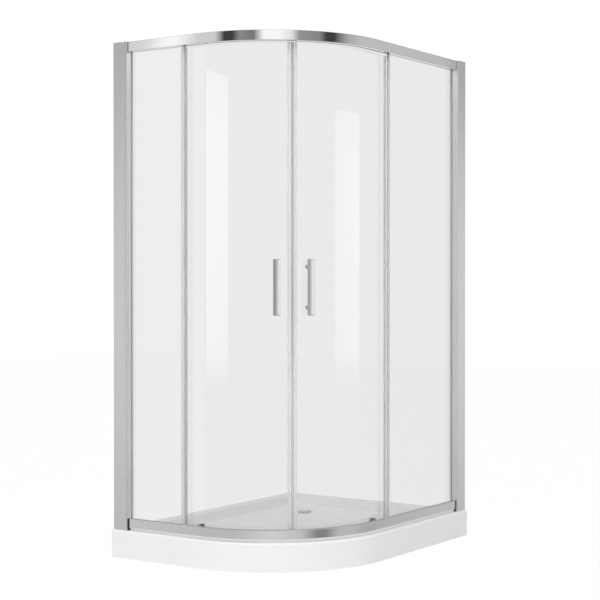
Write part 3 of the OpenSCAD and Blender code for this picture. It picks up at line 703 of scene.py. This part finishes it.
def smooth_faces(mesh):
    """Gives the pane's two faces the normals of the true bend."""
    mesh.shade_smooth()
    normals = []
    for polygon in mesh.polygons:
        flat = polygon.normal
        for vertex in polygon.vertices:
            if polygon.material_index:
                normals.append(flat)
                continue
            normals.append(bend_normal(mesh.vertices[vertex].co, flat))
    mesh.normals_split_custom_set([tuple(n) for n in normals])


def bend_normal(point, flat):
    """The normal of the bend at a point, or of the straight runs beyond it, on the face's own side."""
    out = point - ARC
    out.z = 0
    if out.x < 0:
        out = Vector((0, -1, 0))
    elif out.y > 0:
        out = Vector((1, 0, 0))
    out.normalize()
    return out if out.dot(flat) > 0 else -out


# Seals

def fixed_seal(side):
    """Clear strip on the fixed pane's free edge, with two legs, a nose and a fine ridge on its front."""
    low, high = PANE_U - FIT / 2 - SEAL_T, PANE_U + GLASS_T + FIT / 2 + SEAL_T
    tip, seat, nose = -SEAL_LEG, FIT / 3, 2 * SEAL_T
    ridge = SEAL_T / 2
    outline = [
        (tip, low), (tip * 0.5, low), (tip * 0.42, low - ridge), (tip * 0.34, low), (0, low),
        (nose, low + SEAL_T), (nose, high - SEAL_T), (0, high), (tip, high), (tip, high - SEAL_T),
        (seat, high - SEAL_T), (seat, low + SEAL_T), (tip, low + SEAL_T),
    ]
    station = Station(side, x=-JOINTS[side])
    piece = prism("fixed_strip_" + side, station, rounded(outline, SEAL_T / 3),
                  RIM_Z + BOTTOM_RAIL_H + FIT, TOP_RAIL_Z - FIT, [MATERIALS["clear_seal"]])
    dress(piece, "fixed_seal_" + side, "root")


# Handles and wheels

HANDLE_END_R = 0.0025
# The foot of a handle's post, as (how far it stands out, how far before the post's end)
HANDLE_FOOT = [(0, 0.0050), (0.0004, 0.0044), (0.0012, 0.0030), (0.0015, 0.0005), (0.0012, 0)]
# One side of a lower wheel, as (how far out from the axle, how far in from that side) for its hub and
# (how far in from the tread, how far in from that side) for its rim
WHEEL_HUB = [(0.00005, 0), (0.0022, 0), (0.0026, 0.0004), (0.0030, 0.0012)]
WHEEL_RIM = [
    (0.0032, 0.0012), (0.0030, 0.0010), (0.0024, 0.0004), (0.0016, 0.0003), (0.0008, 0.0004),
    (0.0002, 0.0008), (0, 0.0013),
]


def handle_outline(scale_x, scale_u):
    """The handle's plan at a scale: flat back, round edges and a crowned front."""
    half_w, half_t = HANDLE_W / 2, HANDLE_T / 2
    shoulder = 0.0012
    steps = 24
    points = []
    for k in range(steps + 1):
        x = half_w - HANDLE_EDGE_R / 2 - (HANDLE_W - HANDLE_EDGE_R) * k / steps
        u = HANDLE_CROWN_R - half_t - math.sqrt(HANDLE_CROWN_R ** 2 - x ** 2)
        points.append((x, u))
    back = [(-half_w, shoulder), (-half_w, half_t), (half_w, half_t), (half_w, shoulder)]
    points += [(p.x, p.y) for p in rounded(back, HANDLE_END_R, 4)]
    return [(x * scale_x, u * scale_u) for x, u in points]


def handle(side):
    """A crowned bar on two round posts, with a small foot where each post meets the glass."""
    station = handle_station(side)
    middle = DOOR_U - HANDLE_OFF
    rings = []
    for way in (-1, 1):
        for k in range(EDGE_STEPS + 1)[::-way]:
            t = math.pi / 2 * k / EDGE_STEPS
            inset = HANDLE_END_R * (1 - math.sin(t))
            z = HANDLE_Z + way * (HANDLE_LEN / 2 - HANDLE_END_R * (1 - math.cos(t)))
            outline = handle_outline(1 - 2 * inset / HANDLE_W, 1 - 2 * inset / HANDLE_T)
            rings.append([station.at(x, middle + u, z) for x, u in outline])
    parts = [skin("handle_bar_" + side, rings, [MATERIALS["chrome"]], smooth_angle=40)]
    start, end = middle + HANDLE_T * 0.3, DOOR_U - GROMMET_HEAD_T
    profile = [(0, start), (HANDLE_POST_R, start)]
    profile += [(HANDLE_POST_R + proud, end - before) for proud, before in HANDLE_FOOT]
    profile.append((0, end))
    for way in (-1, 1):
        z = HANDLE_Z + way * HANDLE_PITCH / 2
        parts.append(lathe("handle_post", station, z, profile, [MATERIALS["chrome"]]))
    dress(joined("handle_dressed_" + side, parts), "handle_" + side, "door_" + side)


def low_wheel(side):
    """A lower wheel: black tread, pale disc and dark hub."""
    half = WHEEL_W / 2
    front = [(AXLE_R + out, inner - half) for out, inner in WHEEL_HUB]
    front += [(LOW_WHEEL_R - below, inner - half) for below, inner in WHEEL_RIM]
    back = [(r, -u) for r, u in reversed(front)]
    profile = [(r, LOW_WHEEL_U + u) for r, u in front + back]
    count = len(profile)

    def slot_of(ring, _):
        hub = ring <= 1 or ring >= count - 2
        tread = len(WHEEL_HUB) <= ring < count - len(WHEEL_HUB) - 1
        return 0 if hub or tread else 1

    mats = [MATERIALS["black_plastic"], MATERIALS["white_plastic"]]
    station = rear_station(side)
    piece = lathe("low_wheel_tyre_" + side, station, LOW_AXLE_Z, profile, mats, slot_of, loop=True)
    dress(piece, "low_wheel_" + side, "low_wheel_" + side)


tray()
top_rail()
bottom_rail()
for side in SIDES:
    post(side)
    fixed_glass(side)
    door_glass(side)
    fixed_seal(side)
    handle(side)
    low_wheel(side)


# Stage, camera and light

CAMERA_AT = Vector((3.270, -4.775, 1.040))
CAMERA_AZIMUTH = math.radians(34.28)
CAMERA_PITCH = math.radians(-0.57)
FOCAL_PX = 1447.4
FRAME_PX = 600


def make_camera():
    data = bpy.data.cameras.new("camera")
    data.sensor_width = 36.0
    data.lens = FOCAL_PX / FRAME_PX * data.sensor_width
    data.clip_end = 60
    camera = bpy.data.objects.new("camera", data)
    camera.location = CAMERA_AT
    camera.rotation_euler = (math.pi / 2 + CAMERA_PITCH, 0, CAMERA_AZIMUTH)
    bpy.context.scene.collection.objects.link(camera)
    bpy.context.scene.camera = camera


def make_floor():
    """A white floor that the camera sees almost evenly white, with a trace of the object's shadow."""
    half = 12.0
    own_light = 0.97
    corners = [(-half, -half, 0), (half, -half, 0), (half, half, 0), (-half, half, 0)]
    mesh = bpy.data.meshes.new("floor")
    mesh.from_pydata(corners, [], [(0, 1, 2, 3)])
    floor = bpy.data.objects.new("floor", mesh)
    bpy.context.scene.collection.objects.link(floor)
    mat = shader("floor_white", (0.93, 0.93, 0.93), 0.0, 0.9)
    tree = mat.node_tree
    principled = tree.nodes["Principled BSDF"]
    principled.inputs["Specular IOR Level"].default_value = 0.0
    path = add(tree, "ShaderNodeLightPath")
    seen = add(tree, "ShaderNodeMath", operation="MAXIMUM")
    tree.links.new(path.outputs["Is Camera Ray"], seen.inputs[0])
    tree.links.new(path.outputs["Is Transmission Ray"], seen.inputs[1])
    share = add(tree, "ShaderNodeMath", operation="MULTIPLY")
    share.inputs[1].default_value = own_light
    tree.links.new(seen.outputs["Value"], share.inputs[0])
    white = add(tree, "ShaderNodeEmission", Color=(1, 1, 1, 1), Strength=1.0)
    mix = add(tree, "ShaderNodeMixShader")
    tree.links.new(share.outputs["Value"], mix.inputs["Fac"])
    tree.links.new(principled.outputs["BSDF"], mix.inputs[1])
    tree.links.new(white.outputs["Emission"], mix.inputs[2])
    tree.links.new(mix.outputs["Shader"], tree.nodes["Material Output"].inputs["Surface"])
    mesh.materials.append(mat)
    floor.visible_glossy = False


# The studio, by direction: azimuth in degrees from +Y towards +X, from 0 to 360, and elevation.
# Levels are pairs of (azimuth, level), and run straight from one pair to the next.

# Soft boxes and flags that polished metal shows high up
HIGH_LEVELS = [
    (0, 0.12), (27, 0.12), (28.5, 0.56), (55, 0.56), (71, 0.44), (86, 0.05), (94, 0.05), (101, 0.26),
    (120, 0.32), (127, 0.85), (138, 1.05), (152, 1.05), (161, 0.20), (174, 0.28), (181, 0.05), (189, 0.05),
    (198, 0.68), (218.4, 0.70), (219.1, 1.10), (219.7, 1.08), (220.3, 0.74), (221, 0.74), (222.5, 0.12),
    (285, 0.12), (300, 0.90), (345, 0.90), (360, 0.12),
]
# What satin and chromed metal shows at eye level
MIDDLE_LEVELS = [
    (0, 0.72), (45, 0.74), (60, 1.06), (91, 1.00), (112, 0.84), (141, 0.60), (165, 0.44), (190, 0.34),
    (210, 0.32), (217, 0.82), (262, 0.82), (285, 0.60), (345, 0.60), (360, 0.72),
]
# What metal shows of the studio's floor
LOW_LEVELS = [
    (0, 0.54), (29, 0.54), (32, 0.44), (50, 0.44), (70, 0.54), (82, 0.50), (95, 0.24), (103, 0.24),
    (119, 0.58), (145, 0.69), (180, 0.53), (218, 0.54), (221, 0.60), (262, 0.60), (285, 0.12), (345, 0.12),
    (360, 0.54),
]
# What lies beyond a pane that a mirrored ray passes
BEYOND_LEVELS = [(0, 1.1), (284, 1.1), (292, 0.35), (346, 0.35), (354, 1.1), (360, 1.1)]

# Elevations over which one part of the studio gives way to the next, and its even levels far up and down
DEEP_EDGE = (-30.0, -12.0)
LOW_EDGE = (-8.0, -6.5)
HIGH_EDGE = (7.8, 8.3)
UPPER_EDGE = (12.0, 20.0)
CEILING_EDGE = (30.0, 60.0)
DEEP_LEVEL = 0.10
UPPER_LEVEL = 0.35
CEILING_LEVEL = 1.0
# How what metal shows at eye level dims upwards, as (elevation from, to, share of light from, to)
MIDDLE_FADE = (4.5, 8.0, 1.0, 0.5)

# Soft boxes that show in the panes, as (azimuth from, to, elevation from, to, strength, rise of the top)
PANE_BOXES = [
    (189.3, 214.2, -3.5, 8.32, 2.30, 0.0125),
    (46.2, 78.6, -3.5, 6.85, 1.60, 0.006),
    (216.0, 228.0, -14.0, 14.0, 0.55, 0.0),
]
# How far up from its foot and down from its top a box is dimmer, and its share of light right there
BOX_FOOT_FADE = (5.0, 0.7)
BOX_TOP_FADE = (2.0, 0.75)
PANE_LEVEL = 0.72

# The plain soft light that lights surfaces, at the horizon and overhead
SOFT_LEVELS = (0.46, 0.90)


class Sky:
    """Small helpers that build the world's nodes."""

    def __init__(self, tree):
        self.tree = tree

    def put(self, socket, value):
        if isinstance(value, (int, float)):
            socket.default_value = value
        else:
            self.tree.links.new(value, socket)

    def math(self, operation, a, b=0.0):
        node = add(self.tree, "ShaderNodeMath", operation=operation)
        self.put(node.inputs[0], a)
        self.put(node.inputs[1], b)
        return node.outputs["Value"]

    def step(self, value, start, end, low=0.0, high=1.0):
        """Runs from one level to another as a value goes from start to end, and stays level beyond."""
        node = add(self.tree, "ShaderNodeMapRange")
        self.put(node.inputs["Value"], value)
        for key, number in (("From Min", start), ("From Max", end), ("To Min", low), ("To Max", high)):
            node.inputs[key].default_value = number
        return node.outputs["Result"]

    def blend(self, factor, a, b):
        node = add(self.tree, "ShaderNodeMix", data_type="FLOAT")
        floats = [socket for socket in node.inputs if socket.type == "VALUE"]
        self.put(floats[0], factor)
        self.put(floats[1], a)
        self.put(floats[2], b)
        return [socket for socket in node.outputs if socket.type == "VALUE"][0]

    def levels(self, azimuth, knots):
        """A level that runs straight from each knot to the next."""
        total = knots[0][1]
        for (a, low), (b, high) in zip(knots, knots[1:]):
            if low != high:
                total = self.math("ADD", total, self.step(azimuth, a, b, 0.0, high - low))
        return total

    def box(self, azimuth, elevation, area, rise):
        """1 inside an area of directions and 0 outside, its edges soft and its top rising with azimuth."""
        left, right, foot, top = area
        side_soft, foot_soft, top_soft = 0.35, 0.7, 0.06
        inside = self.step(azimuth, left - side_soft, left + side_soft)
        before_right = self.step(azimuth, right - side_soft, right + side_soft, 1.0, 0.0)
        inside = self.math("MULTIPLY", inside, before_right)
        inside = self.math("MULTIPLY", inside, self.step(elevation, foot - foot_soft, foot + foot_soft))
        along = self.math("SUBTRACT", azimuth, (left + right) / 2)
        level = self.math("SUBTRACT", elevation, self.math("MULTIPLY", along, rise))
        return self.math("MULTIPLY", inside, self.step(level, top - top_soft, top + top_soft, 1.0, 0.0))


def make_world():
    """White to the camera and through glass, a studio to glossy surfaces, plain soft light otherwise."""
    world = bpy.data.worlds.new("studio")
    world.use_nodes = True
    bpy.context.scene.world = world
    tree = world.node_tree
    sky = Sky(tree)
    background = tree.nodes["Background"]
    coords = add(tree, "ShaderNodeTexCoord")
    parts = add(tree, "ShaderNodeSeparateXYZ")
    tree.links.new(coords.outputs["Generated"], parts.inputs["Vector"])
    x, y, z = (parts.outputs[axis] for axis in "XYZ")
    turn = sky.math("MULTIPLY", sky.math("ARCTAN2", x, y), 180 / math.pi)
    azimuth = sky.math("ADD", turn, sky.math("MULTIPLY", sky.math("LESS_THAN", turn, 0.0), 360.0))
    elevation = sky.math("MULTIPLY", sky.math("ARCSINE", z), 180 / math.pi)

    high = sky.levels(azimuth, HIGH_LEVELS)
    middle = sky.levels(azimuth, MIDDLE_LEVELS)
    middle = sky.math("MULTIPLY", middle, sky.step(elevation, *MIDDLE_FADE))
    low = sky.levels(azimuth, LOW_LEVELS)
    metal = sky.blend(sky.step(elevation, *HIGH_EDGE), middle, high)
    metal = sky.blend(sky.step(elevation, *LOW_EDGE), low, metal)
    metal = sky.blend(sky.step(elevation, *DEEP_EDGE), DEEP_LEVEL, metal)
    metal = sky.blend(sky.step(elevation, *UPPER_EDGE), metal, UPPER_LEVEL)
    metal = sky.blend(sky.step(elevation, *CEILING_EDGE), metal, CEILING_LEVEL)

    panes = PANE_LEVEL
    for *area, strength, rise in PANE_BOXES:
        foot, top = area[2:]
        lit = sky.math("MULTIPLY", sky.box(azimuth, elevation, area, rise), strength)
        foot_fade = sky.step(elevation, foot, foot + BOX_FOOT_FADE[0], BOX_FOOT_FADE[1], 1.0)
        lit = sky.math("MULTIPLY", lit, foot_fade)
        top_fade = sky.step(elevation, top - BOX_TOP_FADE[0], top, 1.0, BOX_TOP_FADE[1])
        lit = sky.math("MULTIPLY", lit, top_fade)
        panes = sky.math("ADD", panes, lit)

    path = add(tree, "ShaderNodeLightPath")
    soft = sky.step(z, 0.0, 1.0, *SOFT_LEVELS)
    glossy = sky.blend(path.outputs["Is Singular Ray"], metal, panes)
    level = sky.blend(path.outputs["Is Glossy Ray"], soft, glossy)
    mirrored = sky.math("GREATER_THAN", path.outputs["Glossy Depth"], 0.5)
    beyond = sky.blend(mirrored, 1.0, sky.levels(azimuth, BEYOND_LEVELS))
    level = sky.blend(path.outputs["Is Transmission Ray"], level, beyond)
    tree.links.new(sky.blend(path.outputs["Is Camera Ray"], level, 1.0), background.inputs["Strength"])
    background.inputs["Color"].default_value = (1, 1, 1, 1)


def make_lamp(name, place, target, size, power):
    """A soft lamp that lights surfaces but isn't seen itself."""
    data = bpy.data.lights.new(name, "AREA")
    data.size = size
    data.energy = power
    lamp = bpy.data.objects.new(name, data)
    lamp.location = place
    lamp.rotation_euler = (Vector(target) - Vector(place)).to_track_quat("-Z", "Y").to_euler()
    lamp.visible_camera = False
    lamp.visible_glossy = False
    lamp.visible_transmission = False
    bpy.context.scene.collection.objects.link(lamp)


make_camera()
make_floor()
make_world()
make_lamp("key", (2.2, -5.3, 4.5), (0, 0, 0.6), 3.5, 134)
make_lamp("top", (0.8, -1.1, 5.0), (0, 0, 0), 2.0, 36)

bpy.context.scene.view_settings.view_transform = "Standard"
